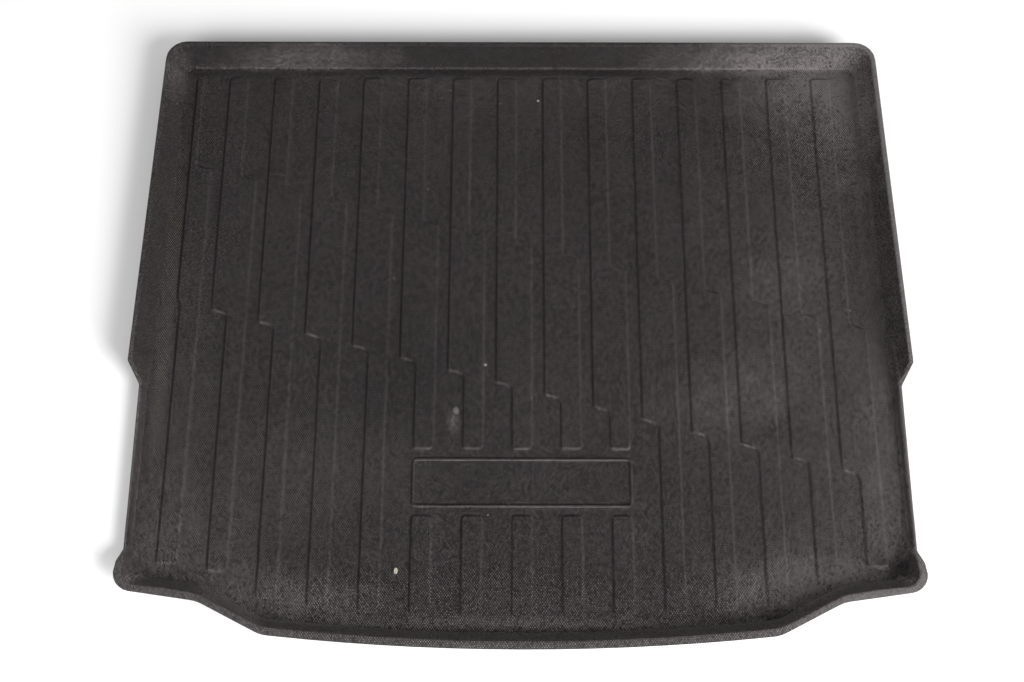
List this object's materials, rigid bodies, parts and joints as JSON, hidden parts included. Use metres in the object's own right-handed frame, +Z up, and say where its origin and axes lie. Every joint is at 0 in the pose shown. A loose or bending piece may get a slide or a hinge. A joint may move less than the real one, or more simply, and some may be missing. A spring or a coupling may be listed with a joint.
{
  "type": "car boot liner mat",
  "caption": "One-piece moulded rubber tray for a car boot floor, with a raised flared lip, ribbed bands and a bare frame.",
  "frame": {"origin": "on the ground plane, under the middle of the tray's outline", "axes": "+X across the car, the longest extent; +Y towards the seats; +Z up, the shortest extent"},
  "size_m": [1.02, 0.85, 0.04],
  "materials": {
    "black_rubber": "dull black moulded rubber with a fine diamond grain, dusty and lightly scuffed"
  },
  "bodies": {
    "root": {"boot_liner_tray": "black_rubber"}
  },
  "joints": []
}
